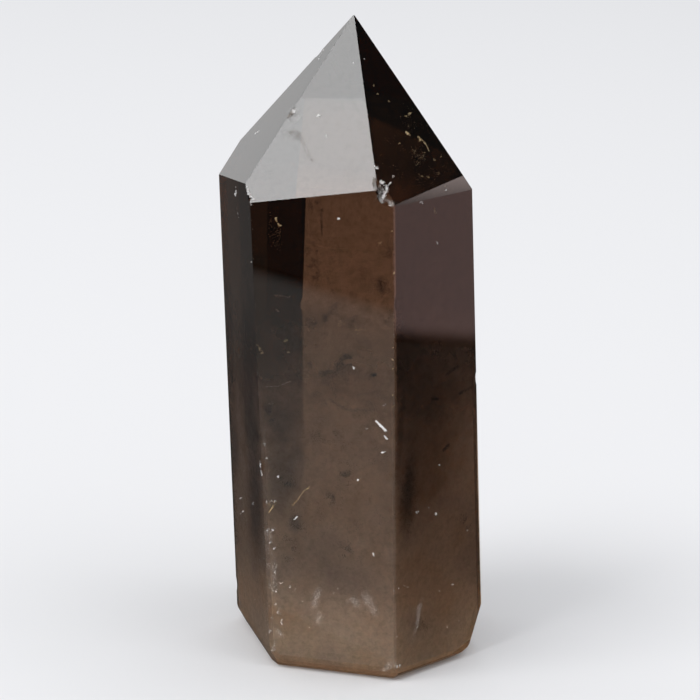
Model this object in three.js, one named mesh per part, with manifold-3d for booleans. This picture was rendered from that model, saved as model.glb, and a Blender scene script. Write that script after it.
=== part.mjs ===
// Smoky quartz point: one polished, six-sided crystal tower that stands on its cut base.
// Millimetres and degrees, +Z up, origin at the centre of the base, front of the stone towards -Y.
// The stone leans a little to the left and forwards, because its base is not cut square.

import * as THREE from 'three';
import { mergeVertices } from 'three/addons/utils/BufferGeometryUtils.js';
import Module from 'manifold-3d';

// Overall size
const stoneHeight = 95;
const tip = new THREE.Vector3(-5.0, -6.1, stoneHeight);
const tipWear = 0.12;

// Long faces of the prism. azimuth: where the face looks, counted from +X towards +Y.
// slope: how far it looks upwards (below zero it overhangs). distance: from the origin.
// inset and rise: width and height of the bevel along the foot of the face.
const sides = {
  left: { azimuth: -162.3, slope: -5.3, distance: 16.35, inset: 0.85, rise: 1.8 },
  frontLeft: { azimuth: -100.3, slope: -5.0, distance: 16.0, inset: 1.1, rise: 1.35 },
  frontRight: { azimuth: -45.2, slope: -0.9, distance: 16.3, inset: 1.2, rise: 1.0 },
  backRight: { azimuth: 16.5, slope: 6.3, distance: 16.5, inset: 1.0, rise: 1.2 },
  back: { azimuth: 75.8, slope: 5.3, distance: 15.3, inset: 0.9, rise: 1.1 },
  backLeft: { azimuth: 135.5, slope: 1.4, distance: 16.4, inset: 1.0, rise: 1.1 },
};

// Faces of the point. They all run up to the tip, so they need no distance.
const crown = {
  left: { azimuth: -168.5, slope: 35.3 },
  frontLeft: { azimuth: -108.7, slope: 34.3 },
  frontRight: { azimuth: -52.5, slope: 37.0 },
  backRight: { azimuth: 7.9, slope: 36.2 },
  back: { azimuth: 77.7, slope: 39.4 },
  backLeft: { azimuth: 140.6, slope: 38.7 },
};

// Small extra facets: the thin one under the front right crown face, the three that round off
// the right corner of the foot, and the nipped left and front left corners of the foot.
const touches = [
  { azimuth: -45.4, slope: 5.0, distance: 23.67 },
  { azimuth: -8.4, slope: -11.8, distance: 16.55 },
  { azimuth: -8.4, slope: -27.8, distance: 14.4 },
  { azimuth: -8.4, slope: -57.2, distance: 8.0 },
  { azimuth: 166.6, slope: -39.0, distance: 13.6 },
  { azimuth: -149.6, slope: -32.0, distance: 14.2 },
];

// Chips on the edges: the two faces whose edge is chipped, the height of the chip,
// its length along the edge and its depth.
const chips = [
  { faces: [crown.frontRight, sides.frontLeft], height: 73.0, length: 3.4, depth: 0.65 },
  { faces: [crown.frontLeft, crown.frontRight], height: 74.6, length: 1.8, depth: 0.35 },
  { faces: [crown.left, crown.frontLeft], height: 82.0, length: 2.2, depth: 0.25 },
  { faces: [crown.left, crown.backLeft], height: 89.0, length: 1.8, depth: 0.18 },
  { faces: [crown.frontLeft, sides.left], height: 71.2, length: 1.4, depth: 0.25 },
  { faces: [sides.left, sides.frontLeft], height: 31.6, length: 3.0, depth: 0.3 },
  { faces: [sides.left, sides.frontLeft], height: 25.7, length: 1.6, depth: 0.2 },
  { faces: [sides.left, sides.backLeft], height: 5.6, length: 2.6, depth: 0.3 },
  { faces: [sides.frontRight, sides.backRight], height: 44.0, length: 2.2, depth: 0.22 },
  { faces: [sides.back, sides.backLeft], height: 52.0, length: 2.4, depth: 0.25 },
  { faces: [sides.back, sides.backRight], height: 18.0, length: 2.0, depth: 0.22 },
];

// Look of the stone
const smokyBrown = 0x6a4f3c;
const polish = 0.05;

// The rough block and the flat tool that takes everything away on one side of a facet
const roughRadius = 40;
const roughHeight = 110;
const roughSides = 6;
const toolSize = 200;

// How finely the ball that leaves a chip is faceted
const ballDetail = 3;

const radians = THREE.MathUtils.degToRad;

// Direction that a facet faces.
function facing(azimuth, slope) {
  const flat = Math.cos(radians(slope));
  return new THREE.Vector3(
    flat * Math.cos(radians(azimuth)),
    flat * Math.sin(radians(azimuth)),
    Math.sin(radians(slope)),
  );
}

function facetPlane(facet) {
  const normal = facing(facet.azimuth, facet.slope);
  const distance = facet.distance ?? normal.dot(tip);
  return { normal, distance };
}

// Bevel along the foot of a side: it meets the table `inset` inside the face
// and the face itself at the height `rise`.
function footBevel(side) {
  const lean = radians(side.slope);
  const outAtTable = side.distance / Math.cos(lean) - side.inset;
  const outAtRise = (side.distance - side.rise * Math.sin(lean)) / Math.cos(lean);
  const slope = THREE.MathUtils.radToDeg(Math.atan2(outAtTable - outAtRise, side.rise));
  const normal = facing(side.azimuth, slope);
  return { normal, distance: Math.cos(radians(slope)) * outAtTable };
}

// Point where the edge between two facets passes a given height.
function pointOnEdge([first, second], height) {
  const a = facetPlane(first);
  const b = facetPlane(second);
  const equations = new THREE.Matrix3().set(
    ...a.normal.toArray(),
    ...b.normal.toArray(),
    0, 0, 1,
  );
  return new THREE.Vector3(a.distance, b.distance, height).applyMatrix3(equations.invert());
}

const wasm = await Module();
wasm.setup();

function toSolid(geometry) {
  const bare = geometry.clone();
  bare.deleteAttribute('normal');
  bare.deleteAttribute('uv');
  const merged = mergeVertices(bare);
  return new wasm.Manifold(new wasm.Mesh({
    numProp: 3,
    vertProperties: new Float32Array(merged.attributes.position.array),
    triVerts: new Uint32Array(merged.index.array),
  }));
}

function toGeometry(solid) {
  const mesh = solid.getMesh();
  const indexed = new THREE.BufferGeometry();
  indexed.setAttribute('position', new THREE.BufferAttribute(mesh.vertProperties, 3));
  indexed.setIndex(new THREE.BufferAttribute(mesh.triVerts, 1));
  const faceted = indexed.toNonIndexed();
  faceted.computeVertexNormals();
  return faceted;
}

// Grinds one flat facet.
function grind(stone, { normal, distance }) {
  const tool = new THREE.BoxGeometry(toolSize, toolSize, toolSize);
  tool.translate(toolSize / 2, 0, 0);
  const turn = new THREE.Quaternion().setFromUnitVectors(new THREE.Vector3(1, 0, 0), normal);
  tool.applyQuaternion(turn);
  tool.translate(normal.x * distance, normal.y * distance, normal.z * distance);
  return stone.subtract(toSolid(tool));
}

// Knocks one shell-shaped chip out of an edge: a shallow hollow cut by a large ball.
// Each ball is turned by an amount of its own, so that no two chips have the same facets.
function knockChip(stone, { faces, height, length, depth }) {
  const outwards = new THREE.Vector3();
  faces.forEach((face) => outwards.add(facetPlane(face).normal));
  outwards.normalize();
  const radius = (length * length / 4 + depth * depth) / (2 * depth);
  const centre = pointOnEdge(faces, height).addScaledVector(outwards, radius - depth);
  const ball = new THREE.IcosahedronGeometry(radius, ballDetail);
  ball.rotateZ(radians(height));
  ball.translate(centre.x, centre.y, centre.z);
  return stone.subtract(toSolid(ball));
}

function roughBlock() {
  const block = new THREE.CylinderGeometry(roughRadius, roughRadius, roughHeight, roughSides);
  block.rotateX(Math.PI / 2);
  block.translate(0, 0, roughHeight / 2);
  return toSolid(block);
}

const wornTip = {
  normal: new THREE.Vector3(0, 0, 1),
  distance: stoneHeight - tipWear,
};

const facets = [
  ...Object.values(sides).map(facetPlane),
  ...Object.values(crown).map(facetPlane),
  ...Object.values(sides).map(footBevel),
  ...touches.map(facetPlane),
  wornTip,
];

const polished = facets.reduce(grind, roughBlock());
const chipped = chips.reduce(knockChip, polished);

const quartzPoint = new THREE.Mesh(
  toGeometry(chipped),
  new THREE.MeshStandardMaterial({ color: smokyBrown, roughness: polish, metalness: 0 }),
);
quartzPoint.name = 'quartz_point';

const crystal = new THREE.Group();
crystal.add(quartzPoint);

export default crystal;
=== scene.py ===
# Smoky quartz point: see-through finish, inclusions, studio floor, light and camera
from math import cos, pi, radians, sin
from random import Random

import bmesh
import bpy
from mathutils import Euler, Matrix, Vector, noise
from mathutils.bvhtree import BVHTree


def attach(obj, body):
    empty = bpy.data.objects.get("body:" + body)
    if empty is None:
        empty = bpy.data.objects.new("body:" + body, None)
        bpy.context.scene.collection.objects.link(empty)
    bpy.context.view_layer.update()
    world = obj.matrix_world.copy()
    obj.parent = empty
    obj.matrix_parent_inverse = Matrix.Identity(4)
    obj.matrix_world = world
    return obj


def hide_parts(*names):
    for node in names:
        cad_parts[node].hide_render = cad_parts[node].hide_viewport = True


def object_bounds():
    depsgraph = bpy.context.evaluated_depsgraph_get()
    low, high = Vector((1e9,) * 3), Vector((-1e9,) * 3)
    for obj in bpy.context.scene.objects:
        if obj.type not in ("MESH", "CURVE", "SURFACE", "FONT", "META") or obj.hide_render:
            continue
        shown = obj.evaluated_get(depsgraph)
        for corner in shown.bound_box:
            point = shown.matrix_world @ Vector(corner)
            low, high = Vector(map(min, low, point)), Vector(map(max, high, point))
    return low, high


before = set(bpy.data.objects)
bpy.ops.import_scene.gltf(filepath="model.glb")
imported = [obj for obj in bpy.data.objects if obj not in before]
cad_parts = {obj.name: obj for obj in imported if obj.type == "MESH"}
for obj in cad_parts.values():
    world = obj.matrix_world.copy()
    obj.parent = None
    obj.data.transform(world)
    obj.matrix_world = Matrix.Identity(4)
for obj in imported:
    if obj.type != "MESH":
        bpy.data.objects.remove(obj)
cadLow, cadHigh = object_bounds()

mm = 0.001
noiseMiddle = 0.5                          # the value that a noise texture varies about


# Shader helpers

class Wire:
    # one output of a node; arithmetic on it adds Math nodes
    def __init__(self, finish, socket):
        self.finish = finish
        self.socket = socket

    def math(self, operation, first, second=0.0):
        return self.finish.node("Math", {"operation": operation}, {0: first, 1: second})

    def __add__(self, other):
        return self.math("ADD", self, other)

    def __sub__(self, other):
        return self.math("SUBTRACT", self, other)

    def __rsub__(self, other):
        return self.math("SUBTRACT", other, self)

    def __mul__(self, other):
        return self.math("MULTIPLY", self, other)

    __radd__ = __add__
    __rmul__ = __mul__


class Finish:
    # one material; node() takes a type, its settings, the values or links of its sockets and an output
    def __init__(self, name):
        self.material = bpy.data.materials.new(name)
        self.material.use_nodes = True
        self.tree = self.material.node_tree
        self.tree.nodes.clear()

    def node(self, kind, settings=None, values=None, out=0):
        made = self.tree.nodes.new("ShaderNode" + kind)
        for key, value in (settings or {}).items():
            if key == "stops":
                self.setStops(made.color_ramp, value)
            else:
                setattr(made, key, value)
        for key, value in (values or {}).items():
            socket = made.inputs[key]
            if isinstance(value, Wire):
                self.tree.links.new(value.socket, socket)
            else:
                socket.default_value = value
        return Wire(self, made.outputs[out]) if made.outputs else None

    def setStops(self, ramp, stops):
        while len(ramp.elements) < len(stops):
            ramp.elements.new(0.5)
        for element, (place, colour) in zip(ramp.elements, stops):
            element.position = place
            element.color = (*colour, 1)

    def place(self):
        return self.node("TexCoord", out="Object")


def putOn(piece, finish):
    piece.data.materials.clear()
    piece.data.materials.append(finish.material)


def newPiece(name, shape):
    mesh = bpy.data.meshes.new(name)
    shape.to_mesh(mesh)
    shape.free()
    piece = bpy.data.objects.new(name, mesh)
    bpy.context.collection.objects.link(piece)
    return piece


# Camera

camera = {
    "place": (-3.344, -348.441, 146.049),  # mm, in front of the stone and above it
    "pitch": 16.217,                       # degrees below the horizon
    "roll": 2.715,                         # degrees, anticlockwise seen from behind
    "lens": 127.02,                        # mm
    "nearest": 0.01,                       # m, what is closer isn't drawn
}


def makeCamera(spec):
    data = bpy.data.cameras.new("camera")
    data.lens = spec["lens"]
    data.clip_start = spec["nearest"]
    eye = bpy.data.objects.new("camera", data)
    bpy.context.collection.objects.link(eye)
    pitch = Matrix.Rotation(radians(90 - spec["pitch"]), 4, "X")
    roll = Matrix.Rotation(radians(spec["roll"]), 4, "Z")
    eye.matrix_world = Matrix.Translation(Vector(spec["place"]) * mm) @ pitch @ roll
    bpy.context.scene.camera = eye
    print("camera set")


# Marks in the stone are placed by the pixel of the 700 by 700 photograph where they show: a line of
# sight goes through that pixel to the polished face, bends there and runs on for the depth in mm.

sight = {"frame": 700, "pixel": 0.148, "sensor": 36.0}      # pixel: its width on the stone, mm


def makeSight(spec, body):
    shape = bmesh.new()
    shape.from_mesh(body.data)
    bmesh.ops.triangulate(shape, faces=shape.faces)
    spec["skin"] = BVHTree.FromBMesh(shape)
    shape.free()


def spotBehind(pixel, depth):
    eye = bpy.context.scene.camera
    reach = sight["sensor"] / eye.data.lens
    across = (pixel[0] / sight["frame"] - 0.5) * reach
    up = (0.5 - pixel[1] / sight["frame"]) * reach
    line = (eye.matrix_world.to_3x3() @ Vector((across, up, -1))).normalized()
    spot, normal, _, _ = sight["skin"].ray_cast(eye.matrix_world.translation, line)
    if spot is None:
        return None
    ratio = 1 / stone["ior"]
    facing = -normal.dot(line)
    bent = line * ratio + normal * (ratio * facing - (1 - ratio ** 2 * (1 - facing ** 2)) ** 0.5)
    return spot + bent * depth * mm


# The stone

stone = {
    "weldWithin": 0.001,                   # mm
    "flatWithin": 0.3,                     # degrees between triangles of one polished face
    "ior": 1.544,
    "roughness": 0.0,
    "perMetre": 100,                       # density of the absorption
    "through": (0.66, 0.54, 0.41),         # colour that it leaves
    "foot": 0.0,                           # mm, where the tints start and end
    "head": 95.0,
    "tints": [                             # smoke gets thicker from the foot to the tip
        (0.0133, (0.90, 0.76, 0.64)),      # the bevel along the foot
        (0.0148, (1.0, 1.0, 1.0)),
        (0.06, (1.0, 1.0, 1.0)),
        (0.13, (1.0, 0.98, 0.96)),
        (0.18, (0.82, 0.77, 0.73)),
        (0.28, (0.74, 0.67, 0.64)),
        (0.39, (0.53, 0.46, 0.44)),
        (0.49, (0.33, 0.27, 0.25)),
        (0.60, (0.30, 0.203, 0.160)),
        (0.76, (0.26, 0.172, 0.136)),
        (0.80, (0.055, 0.042, 0.037)),
    ],
    "mottleNoise": {"Scale": 1100, "Detail": 5.0, "Roughness": 0.6, "Distortion": 0.4},
    "mottle": [                            # clouds of about 1 mm
        (0.36, (0.73, 0.74, 0.68)),
        (0.50, (0.94, 0.94, 0.92)),
        (0.62, (1.0, 0.96, 0.93)),
    ],
    "shadeEdge": 0.9,                      # how uneven the rims of the shades are
    "shadeFade": 0.8,                      # how much of a shade's radius is its soft rim
    "paintedShades": {                            # painted shade: soft dark zones in the colour where the stone is darkened by its surroundings; radii along X, Y and Z in mm
        "rightStreak": {"pixel": (408, 495), "radii": (2.3, 2.3, 10.0), "tint": (0.24, 0.22, 0.20)},
        "rightEdge": {"pixel": (401, 430), "radii": (0.9, 0.9, 9.0), "tint": (0.50, 0.48, 0.46)},
        "rightUpper": {"pixel": (432, 400), "radii": (7.5, 7.5, 7.0), "tint": (0.60, 0.58, 0.54)},
        "rightMiddle": {"pixel": (428, 462), "radii": (10.0, 10.0, 13.0), "tint": (0.50, 0.42, 0.34)},
        "leftBandLow": {"pixel": (255, 505), "radii": (2.4, 11.0, 14.0), "tint": (0.30, 0.28, 0.30)},
        "leftBandHigh": {"pixel": (247, 365), "radii": (2.2, 9.0, 12.0), "tint": (0.60, 0.58, 0.62)},
        "leftBandMiddle": {"pixel": (251, 427), "radii": (2.1, 11.0, 8.0), "tint": (0.36, 0.38, 0.40)},
        "leftOuter": {"pixel": (234, 446), "radii": (1.5, 11.0, 7.0), "tint": (0.50, 0.52, 0.56)},
        "leftDark": {"pixel": (260, 261), "radii": (1.9, 3.0, 2.1), "tint": (0.40, 0.65, 0.85)},
        "leftMargin": {"pixel": (280, 480), "radii": (2.9, 3.0, 9.0), "tint": (0.42, 0.43, 0.45)},
        "marginUpper": {"pixel": (282, 424), "radii": (3.4, 3.0, 5.5), "tint": (0.56, 0.57, 0.62)},
        "marginInner": {
            "pixel": (296, 466), "radii": (1.35, 3.0, 5.0), "tint": (0.68, 0.70, 0.75), "fade": 0.4,
        },
        "marginSpot": {"pixel": (295, 524), "radii": (1.4, 2.0, 2.2), "tint": (0.50, 0.54, 0.60)},
        "footShade": {"pixel": (312, 560), "radii": (6.0, 4.0, 7.0), "tint": (0.78, 0.78, 0.80)},
        "footMiddle": {"pixel": (347, 579), "radii": (6.5, 4.0, 4.5), "tint": (0.76, 0.76, 0.79)},
        "footRight": {"pixel": (432, 628), "radii": (9.0, 9.0, 9.0), "tint": (0.78, 0.78, 0.78)},
    },
}


def tinted(finish, colour, pattern, share=1.0):
    # the Mix node has its two colours at inputs 6 and 7 and the mixed one at output 2
    return finish.node(
        "Mix", {"data_type": "RGBA", "blend_type": "MULTIPLY"}, {0: share, 6: colour, 7: pattern}, out=2
    )


def paintShade(finish, colour, where, clouds, spec, shade):
    # paints shade: darkens the colour in an egg-shaped zone, fully at its middle and less and less
    # towards its uneven rim
    middle = spotBehind(shade["pixel"], 0)
    away = finish.node("VectorMath", {"operation": "SUBTRACT"}, {0: where, 1: middle})
    away = finish.node("VectorMath", {"operation": "DIVIDE"}, {0: away, 1: Vector(shade["radii"]) * mm})
    reach = finish.node("VectorMath", {"operation": "LENGTH"}, {0: away}, out="Value")
    thick = finish.node("MapRange", {"interpolation_type": "SMOOTHSTEP"}, {
        "Value": 1 - reach + spec["shadeEdge"] * (clouds - noiseMiddle),
        "From Max": shade.get("fade", spec["shadeFade"]),
    })
    return tinted(finish, colour, (*shade["tint"], 1), thick)


def smokyQuartz(spec):
    finish = Finish("smokyQuartz")
    where = finish.place()
    height = finish.node("SeparateXYZ", values={0: where}, out="Z")
    share = finish.node("MapRange", values={
        "Value": height, "From Min": spec["foot"] * mm, "From Max": spec["head"] * mm,
    })
    tint = finish.node("ValToRGB", {"stops": spec["tints"]}, {"Fac": share})
    clouds = finish.node("TexNoise", values={"Vector": where, **spec["mottleNoise"]})
    colour = tinted(finish, tint, finish.node("ValToRGB", {"stops": spec["mottle"]}, {"Fac": clouds}))
    # each painted shade darkens the stone's colour in its zone
    for shade in spec["paintedShades"].values():
        colour = paintShade(finish, colour, where, clouds, spec, shade)
    body = finish.node("BsdfPrincipled", values={
        "Base Color": colour,
        "Roughness": spec["roughness"],
        "IOR": spec["ior"],
        "Transmission Weight": 1.0,
    })
    inside = finish.node("VolumeAbsorption", values={
        "Color": (*spec["through"], 1), "Density": spec["perMetre"],
    })
    finish.node("OutputMaterial", values={"Surface": body, "Volume": inside})
    return finish


def makeStone(spec):
    shape = bmesh.new()
    shape.from_mesh(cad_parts["quartz_point"].data)
    bmesh.ops.remove_doubles(shape, verts=shape.verts, dist=spec["weldWithin"] * mm)
    bmesh.ops.dissolve_limit(
        shape, angle_limit=radians(spec["flatWithin"]), verts=shape.verts, edges=shape.edges
    )
    piece = newPiece("crystalBody", shape)
    makeSight(sight, piece)
    putOn(piece, smokyQuartz(spec))
    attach(piece, "root")
    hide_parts("quartz_point")
    print("stone made:", len(piece.data.polygons), "faces")


# The milk: a cloud of fine inclusions that fills the lower half and thins out upwards

milk = {
    "top": 62.0,                           # mm above the base, where its mesh ends
    "shrink": 0.95,                        # of the stone's width, so that the cloud stays inside
    "flatten": 0.98,                       # of its height, for the same reason
    "lift": 0.6,                           # mm off the base
    "axisFoot": (-1.0, 0.2),               # middle of the stone at the base and at the cloud's top, mm
    "axisTop": (-4.4, -3.6),
    "clearAt": 60.0,                       # mm, where the cloud begins from above
    "denseAt": 18.0,                       # mm, where it is at its thickest
    "unevenness": 45.0,                    # mm, how far patches shift both
    "ior": 1.3,
    "roughness": 0.9,
    "through": 0.72,                       # the rest scatters back
    "tints": [
        (0.00, (1.0, 0.87, 0.74)),
        (0.07, (0.94, 0.80, 0.655)),
        (0.14, (0.76, 0.61, 0.485)),
        (0.21, (0.60, 0.465, 0.36)),
        (0.30, (0.62, 0.48, 0.37)),
        (0.50, (0.81, 0.63, 0.495)),
        (0.66, (0.82, 0.63, 0.495)),
        (0.80, (0.70, 0.54, 0.43)),
        (1.00, (0.68, 0.53, 0.43)),
    ],
    "patchNoise": {"Scale": 150, "Detail": 2.0},
    "patches": [                           # about 7 mm across
        (0.35, (0.86, 0.86, 0.90)),        # mauve grey
        (0.50, (1.0, 1.0, 1.0)),
        (0.66, (1.0, 0.94, 0.88)),         # warm brown
    ],
    "wispNoise": {"Scale": 1400, "Detail": 6.0, "Roughness": 0.65, "Distortion": 0.6},
    "wisps": [
        (0.36, (0.76, 0.745, 0.745)),
        (0.62, (1.0, 1.0, 1.0)),
    ],
}


def milkyQuartz(spec):
    finish = Finish("milkyQuartz")
    where = finish.place()
    height = finish.node("SeparateXYZ", values={0: where}, out="Z")
    broad = finish.node("TexNoise", values={"Vector": where, **spec["patchNoise"]})
    dense = finish.node("MapRange", {"interpolation_type": "SMOOTHSTEP"}, {
        "Value": height + spec["unevenness"] * mm * (broad - noiseMiddle),
        "From Min": spec["clearAt"] * mm, "From Max": spec["denseAt"] * mm,
    })
    share = finish.node("MapRange", values={"Value": height, "From Max": spec["top"] * mm})
    tint = finish.node("ValToRGB", {"stops": spec["tints"]}, {"Fac": share})
    fine = finish.node("TexNoise", values={"Vector": where, **spec["wispNoise"]})
    tint = tinted(finish, tint, finish.node("ValToRGB", {"stops": spec["patches"]}, {"Fac": broad}))
    tint = tinted(finish, tint, finish.node("ValToRGB", {"stops": spec["wisps"]}, {"Fac": fine}))
    body = finish.node("BsdfPrincipled", values={
        "Base Color": tint,
        "Roughness": spec["roughness"],
        "IOR": spec["ior"],
        "Transmission Weight": spec["through"],
        "Alpha": dense,
    })
    finish.node("OutputMaterial", values={"Surface": body})
    return finish


def makeMilk(spec):
    shape = bmesh.new()
    shape.from_mesh(bpy.data.objects["crystalBody"].data)
    everything = shape.verts[:] + shape.edges[:] + shape.faces[:]
    bmesh.ops.bisect_plane(
        shape, geom=everything, plane_co=(0, 0, spec["top"] * mm), plane_no=(0, 0, 1), clear_outer=True
    )
    bmesh.ops.holes_fill(shape, edges=[edge for edge in shape.edges if edge.is_boundary])
    foot = Vector(spec["axisFoot"])
    drift = (Vector(spec["axisTop"]) - foot) / spec["top"]
    for vert in shape.verts:
        axis = (foot + drift * vert.co.z / mm) * mm
        vert.co.x = axis.x + (vert.co.x - axis.x) * spec["shrink"]
        vert.co.y = axis.y + (vert.co.y - axis.y) * spec["shrink"]
        vert.co.z = spec["lift"] * mm + vert.co.z * spec["flatten"]
    bmesh.ops.recalc_face_normals(shape, faces=shape.faces)
    piece = newPiece("milkCloud", shape)
    putOn(piece, milkyQuartz(spec))
    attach(piece, "root")
    print("milk made")


# Small things in and on the stone: tiny sharp shards along lines of pixels. A row says how many shards
# each of its lines gets and, in mm, how deep they lie, how far they scatter and how big they are. A depth
# below 0 stands out of the polish. Clumps are so many to the metre, and gaps is the noise that they need.

shard = {
    "sides": 3,
    "length": 1.4,                         # in radii
    "batch": 150,                          # made together, as one growing mesh gets slow
    "noGaps": -2,                          # less than any noise
    "speckle": {"Scale": 900.0, "Detail": 2.0},
}


def shardsAlong(pixels, row, dice):
    # placed and turned shards, scattered about a line of pixels
    # a row with clumps leaves gaps between them, as real veils do, and any other row keeps every shard
    shards = []
    scatter = row["spread"] / sight["pixel"]
    while len(shards) < row["count"]:
        step = dice.random() * (len(pixels) - 1)
        start = pixels[int(step)]
        end = pixels[min(int(step) + 1, len(pixels) - 1)]
        share = step - int(step)
        pixel = [a + (b - a) * share + dice.gauss(0, scatter) for a, b in zip(start, end)]
        depth = dice.uniform(*row["depth"])
        spot = spotBehind(pixel, depth)
        if spot is None:
            continue
        if noise.noise(spot * row.get("clumps", 0)) < row.get("gaps", shard["noGaps"]):
            continue
        radius = dice.uniform(*row["grain"]) * mm
        turn = Euler([dice.uniform(0, 2 * pi) for _ in range(3)]).to_matrix().to_4x4()
        if "stretch" in row:
            along = spotBehind(end, depth) - spotBehind(start, depth)
            turn = along.to_track_quat("Z", "Y").to_matrix().to_4x4()
        stretch = Matrix.Diagonal((radius, radius, radius * row.get("stretch", 1), 1))
        shards.append(Matrix.Translation(spot) @ turn @ stretch)
    return shards


def makeShards(name, spec):
    dice = Random(spec["seed"])
    shards = []
    for row in spec["rows"].values():
        for pixels in row["lines"]:
            shards += shardsAlong(pixels, row, dice)
    whole = bmesh.new()
    for start in range(0, len(shards), shard["batch"]):
        part = bmesh.new()
        for place in shards[start:start + shard["batch"]]:
            bmesh.ops.create_cone(
                part, cap_ends=True, segments=shard["sides"], radius1=1, radius2=0,
                depth=shard["length"], matrix=place,
            )
        mesh = bpy.data.meshes.new("batch")
        part.to_mesh(mesh)
        part.free()
        whole.from_mesh(mesh)
        bpy.data.meshes.remove(mesh)
    for vert in whole.verts:                                 # kept inside the solid's box
        vert.co = [min(max(at, low), high) for at, low, high in zip(vert.co, cadLow, cadHigh)]
    piece = newPiece(name, whole)
    putOn(piece, shardFinish(name, spec))
    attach(piece, "root")
    print(name, "made:", len(shards), "shards")


def shardFinish(name, spec):
    finish = Finish(name)
    mixed = finish.node("TexNoise", values={"Vector": finish.place(), **shard["speckle"]})
    body = finish.node("BsdfPrincipled", values={
        "Base Color": finish.node("ValToRGB", {"stops": spec["colours"]}, {"Fac": mixed}),
        "Roughness": spec["roughness"],
        "Metallic": spec.get("metallic", 0.0),
    })
    finish.node("OutputMaterial", values={"Surface": body})
    return finish


# White bruises around the chips and along the edges
bruises = {
    "seed": 21,
    "colours": [(0.35, (0.72, 0.70, 0.69)), (0.65, (0.93, 0.92, 0.91))],
    "roughness": 0.45,
    "rows": {
        "cornerStar": {
            "lines": [
                [(380.5, 181.5), (383.5, 183.5)], [(386.6, 185.5), (387, 190), (384.5, 195.5)],
                [(384.2, 195), (382.8, 198)],
            ],
            "count": 60, "depth": (-0.06, 0.04), "spread": 0.10, "grain": (0.05, 0.11),
        },
        "cornerFill": {
            "lines": [[(382.5, 187.5), (384, 192), (383, 197)], [(385.5, 187), (387.5, 192)]],
            "count": 60, "depth": (-0.05, 0.0), "spread": 0.11, "grain": (0.03, 0.055),
        },
        "cornerSpikes": {
            "lines": [[(391.2, 181.5), (388.6, 185.5)], [(374, 165.5), (378, 169.5)]],
            "count": 16, "depth": (-0.04, 0.03), "spread": 0.07, "grain": (0.035, 0.07), "stretch": 2.0,
        },
        "cornerSpots": {
            "lines": [[(393, 176.3)], [(377, 167.5)]],
            "count": 9, "depth": (-0.03, 0.03), "spread": 0.10, "grain": (0.04, 0.08),
        },
        "cornerFaint": {
            "lines": [[(379, 197), (386, 199.5), (394, 204.5)], [(380, 186), (382, 194)]],
            "count": 80, "depth": (-0.02, 0.05), "spread": 0.17, "grain": (0.02, 0.045),
        },
        "ridgeChip": {
            "lines": [[(293.2, 110.4), (294.6, 112.6)]],
            "count": 50, "depth": (-0.07, 0.0), "spread": 0.12, "grain": (0.06, 0.12),
        },
        "ridgeChipHaze": {
            "lines": [
                [(287, 119), (292, 114), (300, 115.5)], [(291, 121), (299, 117)],
                [(289, 112), (296, 109)],
            ],
            "count": 170, "depth": (-0.04, 0.0), "spread": 0.26, "grain": (0.022, 0.045),
        },
        "leftCrownChips": {
            "lines": [[(318.5, 60), (321, 53), (324, 49)], [(255, 134), (259, 131)]],
            "count": 34, "depth": (-0.03, 0.05), "spread": 0.05, "grain": (0.05, 0.11),
        },
        "leftCornerChip": {
            "lines": [[(247, 187), (249, 194), (253, 199)]],
            "count": 60, "depth": (-0.05, 0.05), "spread": 0.08, "grain": (0.06, 0.14),
        },
        "leftFaceStreak": {
            "lines": [[(236, 187), (235.5, 196)]],
            "count": 20, "depth": (-0.02, 0.05), "spread": 0.06, "grain": (0.05, 0.11), "stretch": 2.5,
        },
        "leftFaceFaint": {
            "lines": [[(237, 204), (238, 218)]],
            "count": 14, "depth": (-0.01, 0.05), "spread": 0.05, "grain": (0.025, 0.05), "stretch": 2.5,
        },
        "leftEdgeChips": {
            "lines": [[(260, 461), (260.8, 468)], [(261, 471), (262, 475)]],
            "count": 18, "depth": (-0.02, 0.1), "spread": 0.05, "grain": (0.06, 0.12),
        },
        "cornerDots": {
            "lines": [[(250, 203), (252, 206)], [(396.5, 665), (399, 668)], [(272, 647), (275, 650)]],
            "count": 8, "depth": (-0.02, 0.1), "spread": 0.08, "grain": (0.05, 0.10),
        },
    },
}
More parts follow.
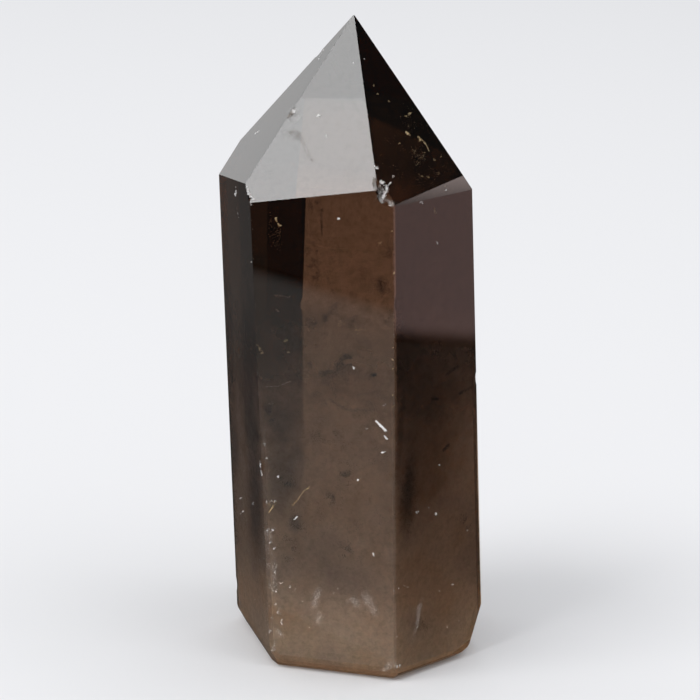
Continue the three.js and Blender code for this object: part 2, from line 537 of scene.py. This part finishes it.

# Bright flecks: dashes and dots that stand alone. They are small real inclusions, and their sparkle is a
# painted glint: white grains that stay bright under any light
whiteFlecksAndGlints = {
    "seed": 5,
    "colours": [(0.35, (0.80, 0.78, 0.76)), (0.65, (0.95, 0.94, 0.92))],
    "roughness": 0.4,
    "rows": {
        "longDash": {
            "lines": [[(376.8, 422), (386, 431)]],
            "count": 40, "depth": (-0.04, 0.05), "spread": 0.05, "grain": (0.12, 0.19), "stretch": 1.8,
        },
        "dashTail": {
            "lines": [[(384.5, 436), (387, 439)]],
            "count": 16, "depth": (-0.03, 0.05), "spread": 0.05, "grain": (0.10, 0.16),
        },
        "shortDashes": {
            "lines": [
                [(382, 452.6), (386.2, 451.8)], [(373, 553), (374.5, 557)], [(294.5, 519), (298, 516)],
            ],
            "count": 12, "depth": (-0.02, 0.05), "spread": 0.04, "grain": (0.07, 0.12), "stretch": 2.0,
        },
        "crownDot": {
            "lines": [[(318.8, 115.7)]],
            "count": 26, "depth": (-0.08, 0.0), "spread": 0.09, "grain": (0.10, 0.16),
        },
        "dots": {
            "lines": [[(338.5, 218.5)], [(353.7, 368)], [(436, 514)], [(278, 476.5)], [(358, 480)]],
            "count": 10, "depth": (-0.03, 0.05), "spread": 0.08, "grain": (0.06, 0.13),
        },
        "dimDots": {
            "lines": [
                [(366.8, 428.4)], [(384, 405.5)], [(421, 202)], [(446, 190)], [(266.7, 458)],
                [(265, 444)], [(326, 136)], [(417, 512)], [(353.5, 63)], [(274.4, 548)], [(266.7, 531)],
                [(272.7, 529.6)], [(252.9, 503.4)], [(437.5, 243)], [(452.6, 584.4)],
            ],
            "count": 6, "depth": (-0.04, 0.03), "spread": 0.08, "grain": (0.04, 0.08),
        },
        "leftSparks": {
            "lines": [
                [(267.5, 529.6)], [(272.7, 530.5)], [(274.4, 548.5)], [(274.4, 645.8)], [(271.8, 650)],
                [(277.9, 612.3)], [(281.3, 622.6)], [(267, 502)], [(271, 501)], [(275, 501.5)],
                [(270, 543)], [(273, 590)], [(276, 604)], [(397.5, 667)], [(399.5, 665.5)],
                [(243, 512)], [(241, 498)], [(274.9, 572)], [(280.8, 583)], [(276.5, 591.4)],
                [(281.6, 620)], [(269.8, 632)], [(290, 587)],
            ],
            "count": 6, "depth": (-0.05, 0.02), "spread": 0.10, "grain": (0.045, 0.095),
        },
        "smallDots": {
            "lines": [
                [(439, 464.5)], [(295, 589)], [(302.8, 601.6)], [(308.9, 627)], [(439.5, 591)],
                [(447.5, 626.6)], [(458.7, 621)], [(432.3, 656)], [(394, 590.7)], [(396.7, 636.7)],
                [(404, 586)], [(399, 588)], [(408, 587)], [(333.8, 593)], [(338, 589)], [(252, 262)],
                [(364, 59)], [(467, 530)], [(254.6, 599.4)], [(240.8, 514)], [(243.5, 471)],
                [(270.5, 631)], [(417.3, 627)], [(429, 508)],
            ],
            "count": 4, "depth": (-0.03, 0.02), "spread": 0.06, "grain": (0.035, 0.075),
        },
    },
}

# Golden flecks in the dark parts
goldenFlecks = {
    "seed": 8,
    "colours": [(0.35, (0.42, 0.30, 0.15)), (0.65, (0.86, 0.70, 0.42))],
    "roughness": 0.35,
    "metallic": 0.2,
    "rows": {
        "crownBright": {
            "lines": [[(418, 137), (421, 141)], [(405.5, 132), (408, 134)]],
            "count": 24, "depth": (-0.03, 0.05), "spread": 0.09, "grain": (0.07, 0.13),
        },
        "crownArc": {
            "lines": [[(421, 140), (426, 144), (429, 150)], [(406, 116), (409, 114), (411, 112.5)]],
            "count": 24, "depth": (-0.03, 0.05), "spread": 0.10, "grain": (0.04, 0.07), "stretch": 2.0,
        },
        "crownDots": {
            "lines": [
                [(374, 85)], [(377.8, 94)], [(413.5, 150)], [(441, 156)], [(439, 173)], [(428, 177)],
                [(388.6, 101)], [(434, 160)], [(399, 143)], [(422, 176)],
            ],
            "count": 9, "depth": (-0.02, 0.08), "spread": 0.11, "grain": (0.035, 0.07),
        },
        "crownCluster": {
            "lines": [[(413, 149), (417, 156), (417, 165)], [(421, 153), (423, 162)]],
            "count": 110, "depth": (0.0, 0.18), "spread": 0.28, "grain": (0.03, 0.065),
        },
        "crownHaze": {
            "lines": [[(400, 130), (440, 172)], [(408, 118), (436, 158)], [(395, 150), (425, 176)]],
            "count": 130, "depth": (0.0, 0.4), "spread": 1.2, "grain": (0.025, 0.05),
            "clumps": 500, "gaps": 0.0,
        },
        "darkBandFlecks": {
            "lines": [[(275, 218), (277, 222)], [(278, 223), (280.5, 227)]],
            "count": 26, "depth": (0.0, 0.1), "spread": 0.09, "grain": (0.06, 0.12),
        },
        "darkBandTail": {
            "lines": [[(278, 229), (279, 250)], [(270, 214), (274, 246)]],
            "count": 60, "depth": (0.1, 0.6), "spread": 0.22, "grain": (0.03, 0.06),
        },
        "edgeCluster": {
            "lines": [
                [(258, 346), (261, 350)], [(262, 353)], [(288.5, 352)], [(285.5, 340)],
                [(379.5, 243.5)],
            ],
            "count": 16, "depth": (-0.02, 0.08), "spread": 0.14, "grain": (0.035, 0.08),
        },
        "upperStreak": {
            "lines": [[(434.5, 208), (435.5, 214)]],
            "count": 22, "depth": (0.0, 0.06), "spread": 0.07, "grain": (0.03, 0.055), "stretch": 2.0,
        },
        "ridgeDots": {
            "lines": [
                [(393, 347.5)], [(393, 359)], [(393, 368.5)], [(393, 395)], [(393.5, 406)],
                [(392, 231)], [(394, 273)],
            ],
            "count": 8, "depth": (-0.02, 0.04), "spread": 0.09, "grain": (0.035, 0.07),
        },
        "goldenArc": {
            "lines": [
                [(292.5, 505.5), (298, 499), (304, 491), (309, 487.5)], [(269, 512.5), (274.5, 504.5)],
            ],
            "count": 70, "depth": (0.0, 0.1), "spread": 0.06, "grain": (0.04, 0.08), "stretch": 2.5,
        },
        "arcEnds": {
            "lines": [[(292, 506), (294, 503)], [(274, 501), (276, 504)], [(267, 503), (270, 505)]],
            "count": 14, "depth": (-0.02, 0.1), "spread": 0.10, "grain": (0.04, 0.08),
        },
        "warmPatches": {
            "lines": [[(341, 323)], [(355, 330), (360, 330)], [(359.5, 481)], [(424, 563), (430, 566)]],
            "count": 34, "depth": (0.0, 0.12), "spread": 0.32, "grain": (0.025, 0.05),
        },
    },
}

# Pale veils of tiny bubbles
paleVeils = {
    "seed": 13,
    "colours": [(0.35, (0.80, 0.72, 0.68)), (0.65, (0.96, 0.92, 0.89))],
    "roughness": 0.6,
    "rows": {
        "lowerLeft": {
            "lines": [
                [(312, 608), (316, 598), (319, 586)], [(314, 607), (319, 592)],
                [(318, 623), (320, 614)],
            ],
            "count": 260, "depth": (-0.02, 0.03), "spread": 0.30, "grain": (0.016, 0.036),
        },
        "lowerMiddle": {
            "lines": [
                [(350, 598), (360, 606)], [(364, 592), (368, 602), (377, 616)],
                [(366, 596), (374, 612)],
            ],
            "count": 320, "depth": (-0.02, 0.03), "spread": 0.36, "grain": (0.016, 0.038),
        },
        "lowerRight": {
            "lines": [[(422, 598), (418, 620), (411, 643)], [(419, 604), (417, 624)]],
            "count": 260, "depth": (-0.02, 0.03), "spread": 0.20, "grain": (0.016, 0.036),
        },
        "footCorner": {
            "lines": [[(373, 659), (395, 668)], [(380, 667), (396, 673)], [(384, 665), (396, 661)]],
            "count": 210, "depth": (0.0, 0.08), "spread": 0.55, "grain": (0.02, 0.045),
            "clumps": 900, "gaps": 0.0,
        },
        "faintArc": {
            "lines": [[(266, 387), (279, 386), (291, 381)]],
            "count": 110, "depth": (0.05, 0.15), "spread": 0.04, "grain": (0.02, 0.04), "stretch": 2.0,
        },
        "faintDashes": {
            "lines": [
                [(274, 295), (282, 296)], [(284, 297), (291, 297)], [(275, 309), (279, 312)],
                [(268, 404), (273, 403)],
            ],
            "count": 40, "depth": (0.05, 0.15), "spread": 0.10, "grain": (0.02, 0.04),
        },
        "leftHaze": {
            "lines": [[(262, 428), (265, 440), (266, 456)], [(264, 470), (266, 500)]],
            "count": 170, "depth": (0.0, 0.06), "spread": 0.28, "grain": (0.015, 0.03),
        },
        "leftFaceHaze": {
            "lines": [[(246, 545), (251, 560), (254, 580)], [(238, 470), (243, 540)]],
            "count": 130, "depth": (0.0, 0.06), "spread": 0.45, "grain": (0.015, 0.03),
        },
    },
}

# Dark wisps: fine dark grains in patches and threads. The rows marked below are painted shade: grains
# that darken zones of the faces which are dark from the surroundings, not from the stone
darkWispsAndPaintedShade = {
    "seed": 34,
    "colours": [(0.35, (0.010, 0.008, 0.006)), (0.65, (0.035, 0.026, 0.020))],
    "roughness": 0.9,
    "rows": {
        "upperThread": {
            "lines": [[(321.5, 208), (322, 236)]],
            "count": 260, "depth": (0.3, 0.8), "spread": 0.10, "grain": (0.03, 0.06),
        },
        "upperMargin": {
            "lines": [[(305, 215), (309, 290)], [(312, 230), (318, 292)], [(306, 255), (320, 285)]],
            "count": 600, "depth": (0.1, 0.7), "spread": 0.7, "grain": (0.02, 0.05),
            "clumps": 1500, "gaps": 0.08,
        },
        "upperPatches": {
            "lines": [
                [(388, 246), (389, 258)], [(378, 282), (386, 290)], [(312, 205), (316, 203)],
                [(386, 310), (391, 325)],
            ],
            "count": 340, "depth": (0.1, 0.9), "spread": 0.50, "grain": (0.025, 0.055),
            "clumps": 1200, "gaps": 0.0,
        },
        "upperSpots": {
            "lines": [[(360, 269), (365, 279)], [(332, 285), (335, 294)], [(350, 290), (356, 296)]],
            "count": 100, "depth": (0.1, 0.6), "spread": 0.40, "grain": (0.025, 0.05),
            "clumps": 1200, "gaps": 0.0,
        },
        "darkSpot": {
            "lines": [[(376, 281), (382, 286), (386, 292)]],
            "count": 170, "depth": (0.05, 0.4), "spread": 0.60, "grain": (0.05, 0.10),
        },
        "middlePatches": {
            "lines": [
                [(338, 303), (329, 315)], [(325, 316), (325, 321)], [(357, 316), (348, 327)],
                [(307, 320), (312, 324), (319, 322)],
            ],
            "count": 330, "depth": (0.1, 0.5), "spread": 0.30, "grain": (0.025, 0.055),
        },
        "middleBand": {
            "lines": [
                [(311, 362), (318, 371), (334, 373)], [(320, 366), (334, 371), (343, 360)],
                [(345, 358), (352, 362)],
            ],
            "count": 750, "depth": (0.1, 0.6), "spread": 0.5, "grain": (0.025, 0.055),
            "clumps": 700, "gaps": 0.05,
        },
        "middleDust": {
            "lines": [[(310, 335), (390, 345)], [(315, 380), (390, 370)], [(320, 400), (380, 395)]],
            "count": 1100, "depth": (0.1, 0.5), "spread": 1.6, "grain": (0.02, 0.05),
            "clumps": 600, "gaps": 0.10,
        },
        "threads": {
            "lines": [
                [(331, 401), (348, 410), (374, 410)], [(443, 451), (449, 444)],
                [(446, 375), (458, 366)], [(459, 394), (464, 391), (473, 387)],
                [(431, 399), (438, 399)], [(372, 375), (376, 375)],
            ],
            "count": 340, "depth": (0.05, 0.35), "spread": 0.13, "grain": (0.025, 0.055),
        },
        "lowerPatches": {
            "lines": [
                [(316, 437), (337, 434)], [(340, 475), (350, 481)], [(330, 497), (337, 501)],
                [(293, 515), (301, 535)], [(277, 475), (294, 488)], [(266, 410), (274, 417)],
                [(465, 518), (466, 526)], [(286, 538), (292, 560)], [(345, 545), (350, 560)],
            ],
            "count": 520, "depth": (0.1, 0.5), "spread": 0.6, "grain": (0.02, 0.05),
            "clumps": 800, "gaps": 0.05,
        },
        "lowerMottle": {
            "lines": [[(312, 420), (385, 445)], [(310, 460), (385, 470)], [(312, 510), (385, 520)]],
            "count": 700, "depth": (0.1, 0.5), "spread": 2.0, "grain": (0.02, 0.045),
            "clumps": 700, "gaps": 0.15,
        },
        # painted shade: dark grains below the edge of a reflection on the right face
        "rightTop": {
            "lines": [[(401, 332), (411, 338)], [(400, 360), (408, 388)], [(412, 345), (440, 350)]],
            "count": 420, "depth": (0.1, 0.6), "spread": 0.55, "grain": (0.02, 0.05),
            "clumps": 500, "gaps": 0.0,
        },
        # painted shade: dark grains along the dark streak near the middle ridge, together with the
        # painted shade rightStreak
        "rightBand": {
            "lines": [[(402, 478), (408, 500), (407, 538)], [(410, 476), (415, 500), (411, 535)]],
            "count": 900, "depth": (0.1, 0.5), "spread": 0.55, "grain": (0.02, 0.045),
        },
        "rightFootSpot": {
            "lines": [[(420, 621), (427, 629)]],
            "count": 420, "depth": (0.05, 0.3), "spread": 0.36, "grain": (0.02, 0.045),
        },
        # painted shade: dark grains in the dark band along the left face
        "leftFaceShade": {
            "lines": [
                [(250, 330), (256, 440), (260, 520), (262, 570)], [(247, 340), (253, 440), (258, 530)],
            ],
            "count": 800, "depth": (0.1, 0.5), "spread": 0.45, "grain": (0.02, 0.045),
        },
        # painted shade: dark grains on the surface that dim both the reflection and the light through the
        # left face
        "leftFaceBand": {
            "lines": [[(257, 430), (259, 480), (261, 545)]],
            "count": 900, "depth": (-0.01, 0.03), "spread": 0.28, "grain": (0.02, 0.045),
        },
        "rightRim": {
            "lines": [[(474, 400), (478, 520), (478.5, 600)]],
            "count": 160, "depth": (0.1, 0.3), "spread": 0.08, "grain": (0.03, 0.06),
        },
        "leftRim": {
            "lines": [
                [(222.8, 190), (224.6, 259), (227, 330), (229.5, 382)],
                [(229.5, 382), (232, 433), (234.8, 500), (236.8, 545)],
            ],
            "count": 1700, "depth": (-0.01, 0.04), "spread": 0.16, "grain": (0.02, 0.05),
        },
    },
}

# The crack on the crown and other grey brown smears on the polish
smears = {
    "seed": 89,
    "colours": [(0.35, (0.32, 0.285, 0.25)), (0.65, (0.50, 0.48, 0.465))],
    "roughness": 0.7,
    "rows": {
        "crownCrack": {
            "lines": [[(284, 133), (290, 134), (297, 135.5), (303, 140)], [(293, 132), (300, 136)]],
            "count": 620, "depth": (-0.02, 0.0), "spread": 0.33, "grain": (0.018, 0.036),
        },
        "crownCrackTail": {
            "lines": [[(300, 138), (304.5, 144), (306.5, 152), (308.5, 158), (313, 160.5)]],
            "count": 620, "depth": (-0.02, 0.0), "spread": 0.22, "grain": (0.016, 0.032),
        },
        "crownSmudges": {
            "lines": [[(266, 170), (274, 177)], [(348, 167), (356, 173)], [(346, 178), (351, 182)]],
            "count": 200, "depth": (-0.02, 0.0), "spread": 0.42, "grain": (0.012, 0.024),
        },
        "crownCorner": {
            "lines": [[(374.3, 177), (375, 183), (376.3, 189)], [(373.6, 180), (375, 189)]],
            "count": 210, "depth": (-0.04, 0.0), "spread": 0.10, "grain": (0.035, 0.07),
        },
        "cornerBand": {
            "lines": [
                [(377, 196.5), (386, 199.5), (394.5, 204.5)], [(378, 189), (380, 195), (383, 200)],
            ],
            "count": 200, "depth": (-0.02, 0.0), "spread": 0.17, "grain": (0.018, 0.036),
        },
        "cornerCover": {
            "lines": [[(389, 202.5), (393, 205.5)], [(379.5, 199), (382.5, 202.5)]],
            "count": 110, "depth": (-0.04, 0.0), "spread": 0.10, "grain": (0.03, 0.06),
        },
        "ridgeChipCover": {
            "lines": [[(290, 114), (295, 109)], [(287.8, 117.6), (291, 113.5)]],
            "count": 130, "depth": (-0.03, 0.0), "spread": 0.12, "grain": (0.03, 0.06),
        },
    },
}

# Dust and pits on the polish
dust = {
    "seed": 55,
    "colours": [(0.35, (0.60, 0.56, 0.53)), (0.65, (0.92, 0.90, 0.88))],
    "roughness": 0.6,
    "rows": {
        "leftEdge": {
            "lines": [[(267, 530), (270, 600), (272, 650)], [(272, 530), (276, 600), (280, 640)]],
            "count": 260, "depth": (-0.03, 0.02), "spread": 0.40, "grain": (0.025, 0.055),
            "clumps": 900, "gaps": 0.1,
        },
        "lowerFront": {
            "lines": [[(285, 560), (385, 575)], [(285, 600), (385, 610)], [(285, 630), (385, 645)]],
            "count": 500, "depth": (-0.005, 0.03), "spread": 1.9, "grain": (0.015, 0.030),
        },
        "lowerRight": {
            "lines": [[(405, 570), (465, 575)], [(405, 610), (460, 615)]],
            "count": 240, "depth": (-0.005, 0.03), "spread": 1.5, "grain": (0.015, 0.030),
        },
        "leftFace": {
            "lines": [[(237, 440), (239, 500), (242, 560)], [(243, 500), (248, 600)]],
            "count": 70, "depth": (-0.01, 0.05), "spread": 0.4, "grain": (0.02, 0.045),
        },
        "ridge": {
            "lines": [[(394, 210), (394, 420)], [(396, 420), (398, 655)]],
            "count": 40, "depth": (0.0, 0.05), "spread": 0.03, "grain": (0.02, 0.05),
        },
        "leftRidge": {
            "lines": [[(252, 210), (262, 480)], [(262, 480), (273, 655)]],
            "count": 34, "depth": (0.0, 0.05), "spread": 0.04, "grain": (0.02, 0.045),
        },
        "crownRidge": {
            "lines": [[(357, 30), (375, 170)]],
            "count": 26, "depth": (0.0, 0.05), "spread": 0.02, "grain": (0.02, 0.04),
        },
    },
}


# Floor and light

studio = {
    "floorSize": 6.0,                      # m
    "floorDrop": 0.15,                     # mm below the stone's base, so that the two faces stay apart
    "floorColour": (0.80, 0.80, 0.81),
    "sky": (0.86, 0.87, 0.89),
    "skyStrength": 0.86,
    "boxAim": 0.08,                        # m above the floor, what the softboxes are turned to
}

# where each stands as seen from the stone, in degrees; distance and size in metres
softboxes = {
    "keyBox": {"azimuth": -142, "elevation": 52, "distance": 2.2, "size": 0.92, "radiance": 6.8},
    "fillBox": {"azimuth": -25, "elevation": 62, "distance": 1.4, "size": 0.9, "radiance": 1.2},
}

# Cards that the camera never sees. A card lies in a plane through its origin (mm) that faces an azimuth
# and an elevation and may be turned in itself. Its corners are in that plane's own mm, anticlockwise from
# the lower left. A card with a run changes along one of its axes: the stops are places in mm and shares
# of its light. "mirror" cards show only in reflections, "through" cards only in what is seen through the
# stone.
cards = {
    "keyCardLow": {
        "origin": (-582.2, -454.9, 1025.6), "facing": (38, -52),
        "corners": ((-250, -250), (250, -250), (250, -142.3), (-250, 147.7)),
        "radiance": 8.8, "colour": (1, 1, 1), "seen": "mirror",
    },
    "keyCardHigh": {
        "origin": (-582.2, -454.9, 1025.6), "facing": (38, -52),
        "corners": ((-250, 147.7), (250, -142.3), (250, 250), (-250, 250)),
        "radiance": 7.8, "colour": (1, 1, 1), "seen": "mirror",
    },
    "backCard": {
        "origin": (-420, 900, 150), "facing": (-65, -5),
        "corners": ((-350, -120), (350, -120), (350, 120), (-350, 120)),
        "radiance": 1.13, "colour": (1, 1, 1), "seen": "mirror",
    },
    "frontCard": {
        "origin": (0, 0, -0.1), "facing": (-90, 90), "turn": 11.9,
        "corners": ((-237, -127.6), (11.5, -127.6), (-0.5, -22.2), (-245.9, -50.2)),
        "run": ("Y", [(-127.6, 0.0), (-125.9, 0.2), (-122.7, 0.8), (-121, 0.99), (-22, 1.2)]),
        "radiance": 0.5, "colour": (0.97, 1, 0.96), "seen": "mirror",
    },
    "leftCard": {
        "origin": (0, 0, -0.1), "facing": (-90, 90),
        "corners": ((-220, 96), (-60, 96), (-60, 300), (-220, 300)),
        "run": ("Y", [(96, 0.64), (108, 0.70), (140, 1.0), (300, 1.0)]),
        "radiance": 0.088, "colour": (0.98, 1, 1), "seen": "mirror",
    },
    "rightCard": {
        "origin": (0, 0, -0.1), "facing": (-90, 90),
        "corners": ((172, -46), (400, -46), (400, 32), (172, 32)),
        "run": ("X", [(172, 0.0), (176.5, 0.15), (183.5, 0.85), (187.5, 1.0), (400, 1.0)]),
        "radiance": 1.0, "colour": (1, 0.67, 0.63), "seen": "mirror",
    },
    "farRightCard": {
        "origin": (0, 0, -0.1), "facing": (-90, 90),
        "corners": ((672, -60), (900, -60), (900, 25), (672, 25)),
        "run": ("X", [(672, 0.33), (724, 0.35), (745, 0.5), (775, 0.70), (810, 0.92), (900, 1.0)]),
        "radiance": 3.0, "colour": (1, 0.82, 0.78), "seen": "mirror",
    },
    "leftFlagHigh": {
        "origin": (-19.42, 18.76, 0), "facing": (-44, 0),
        "corners": ((-6, 48.3), (14.5, 38.3), (13.3, 100), (-6, 100)),
        "radiance": 0.02, "colour": (1, 1, 1), "seen": "through",
    },
    "leftFlagLow": {
        "origin": (-19.42, 18.76, 0), "facing": (-44, 0),
        "corners": ((-6, 0), (16.6, 0), (14.5, 38.3), (-6, 48.3)),
        "run": ("Y", [(0, 1.0), (10, 0.85), (20, 0.37), (30, 0.105), (42, 0.08), (48.3, 0.07)]),
        "radiance": 0.58, "colour": (1, 1, 1), "seen": "through",
    },
    "rightFlagFar": {
        "origin": (22.65, 19.7, 0), "facing": (-139, 0),
        "corners": ((-20, 0), (-12.4, 0), (-10.4, 75), (-20, 75)),
        "radiance": 0.22, "colour": (1, 1, 1), "seen": "through",
    },
    "rightFlagNear": {
        "origin": (22.65, 19.7, 0), "facing": (-139, 0),
        "corners": ((-12.4, 0), (14, 0), (14, 75), (-10.4, 75)),
        "radiance": 0.13, "colour": (1, 1, 1), "seen": "through",
    },
    "frontFlag": {
        "origin": (-19, -29.4, 0), "facing": (57, 0),
        "corners": ((-16, 0), (-4, 0), (-4, 48), (-16, 48)),
        "radiance": 0.33, "colour": (1, 1, 1), "seen": "through",
    },
    "frontGlow": {
        "origin": (-76, -163, 0), "facing": (65, 0),
        "corners": ((-110, 0), (110, 0), (110, 200), (-110, 200)),
        "radiance": 2.6, "colour": (1, 0.96, 0.90), "seen": "through",
    },
    "footGlow": {
        "origin": (0, 0, -0.04), "facing": (-90, 90),
        "corners": ((-42, -60), (2, -60), (2, -19), (-42, -17)),
        "radiance": 4.0, "colour": (1, 0.94, 0.86), "seen": "through",
    },
    "sideFlag": {
        "origin": (62, -5, 0), "facing": (180, 0),
        "corners": ((-38, 0), (45, 0), (45, 100), (-38, 100)),
        "radiance": 0.22, "colour": (1, 1, 1), "seen": "through",
    },
    "footCard": {
        "origin": (0, 0, -0.05), "facing": (-90, 90),
        "corners": ((-26, -24), (26, -24), (26, 20), (-26, 20)),
        "radiance": 1.1, "colour": (1, 0.80, 0.62), "seen": "through",
    },
}

# A dim shell around everything, which the faces mirror where they meet no card; radius in metres
room = {"radius": 2.9, "radiance": 0.056}


def direction(azimuth, elevation):
    flat = cos(radians(elevation))
    return Vector((flat * cos(radians(azimuth)), flat * sin(radians(azimuth)), sin(radians(elevation))))


def makeRoom(spec):
    shape = bmesh.new()
    bmesh.ops.create_icosphere(shape, subdivisions=3, radius=spec["radius"])
    shell = newPiece("room", shape)
    finish = Finish("dimRoom")
    glow = finish.node("Emission", values={"Strength": spec["radiance"]})
    finish.node("OutputMaterial", values={"Surface": glow})
    finish.material.cycles.emission_sampling = "NONE"
    putOn(shell, finish)
    showOnlyTo(shell, "mirror")


def showOnlyTo(card, rays):
    card.visible_camera = False
    card.visible_diffuse = False
    card.visible_shadow = False
    card.visible_volume_scatter = False
    card.visible_glossy = rays == "mirror"
    card.visible_transmission = rays == "through"


def makeFloor(spec):
    shape = bmesh.new()
    bmesh.ops.create_grid(shape, x_segments=1, y_segments=1, size=spec["floorSize"] / 2)
    bmesh.ops.translate(shape, verts=shape.verts, vec=(0, 0, -spec["floorDrop"] * mm))
    floor = newPiece("floor", shape)
    finish = Finish("paleFloor")
    matt = finish.node("BsdfDiffuse", values={"Color": (*spec["floorColour"], 1)})
    finish.node("OutputMaterial", values={"Surface": matt})
    putOn(floor, finish)
    floor.visible_glossy = False


def makeSky(spec):
    world = bpy.data.worlds.new("sky")
    world.use_nodes = True
    back = world.node_tree.nodes["Background"]
    back.inputs["Color"].default_value = (*spec["sky"], 1)
    back.inputs["Strength"].default_value = spec["skyStrength"]
    world.cycles_visibility.glossy = False
    bpy.context.scene.world = world


def makeSoftbox(name, spec):
    data = bpy.data.lights.new(name, "AREA")
    data.shape = "SQUARE"
    data.size = spec["size"]
    data.energy = spec["radiance"] * pi * spec["size"] ** 2
    lamp = bpy.data.objects.new(name, data)
    bpy.context.collection.objects.link(lamp)
    towards = direction(spec["azimuth"], spec["elevation"])
    lamp.location = towards * spec["distance"] + Vector((0, 0, studio["boxAim"]))
    lamp.rotation_mode = "QUATERNION"
    lamp.rotation_quaternion = towards.to_track_quat("Z", "Y")
    lamp.visible_camera = False
    lamp.visible_transmission = False
    lamp.visible_glossy = False


def makeCard(name, spec):
    shape = bmesh.new()
    shape.faces.new([shape.verts.new((x * mm, y * mm, 0)) for x, y in spec["corners"]])
    card = newPiece(name, shape)
    azimuth, elevation = spec["facing"]
    swing = Matrix.Rotation(radians(azimuth + 90), 4, "Z")
    upright = Matrix.Rotation(radians(90 - elevation), 4, "X")
    turn = Matrix.Rotation(radians(spec.get("turn", 0)), 4, "Z")
    card.matrix_world = Matrix.Translation(Vector(spec["origin"]) * mm) @ swing @ upright @ turn
    finish = Finish(name)
    colour = (*spec["colour"], 1)
    brightest = 1
    if "run" in spec:
        axis, places = spec["run"]
        first, last = places[0][0], places[-1][0]
        share = finish.node("MapRange", values={
            "Value": finish.node("SeparateXYZ", values={0: finish.place()}, out=axis),
            "From Min": first * mm, "From Max": last * mm,
        })
        brightest = max(light for _, light in places)
        stops = [
            ((place - first) / (last - first), [part * light / brightest for part in spec["colour"]])
            for place, light in places
        ]
        colour = finish.node("ValToRGB", {"stops": stops}, {"Fac": share})
    glow = finish.node("Emission", values={"Color": colour, "Strength": spec["radiance"] * brightest})
    finish.node("OutputMaterial", values={"Surface": glow})
    finish.material.cycles.emission_sampling = "NONE"
    putOn(card, finish)
    showOnlyTo(card, spec["seen"])


makeCamera(camera)
makeStone(stone)
makeMilk(milk)
makeShards("edgeBruises", bruises)
makeShards("whiteFlecksAndGlints", whiteFlecksAndGlints)
makeShards("goldenFlecks", goldenFlecks)
makeShards("paleVeils", paleVeils)
makeShards("darkWispsAndPaintedShade", darkWispsAndPaintedShade)
makeShards("smears", smears)
makeShards("dust", dust)
makeFloor(studio)
makeSky(studio)
makeRoom(room)
for boxName, boxSpec in softboxes.items():
    makeSoftbox(boxName, boxSpec)
for cardName, cardSpec in cards.items():
    makeCard(cardName, cardSpec)
bpy.context.scene.view_settings.view_transform = "Standard"
print("studio set")
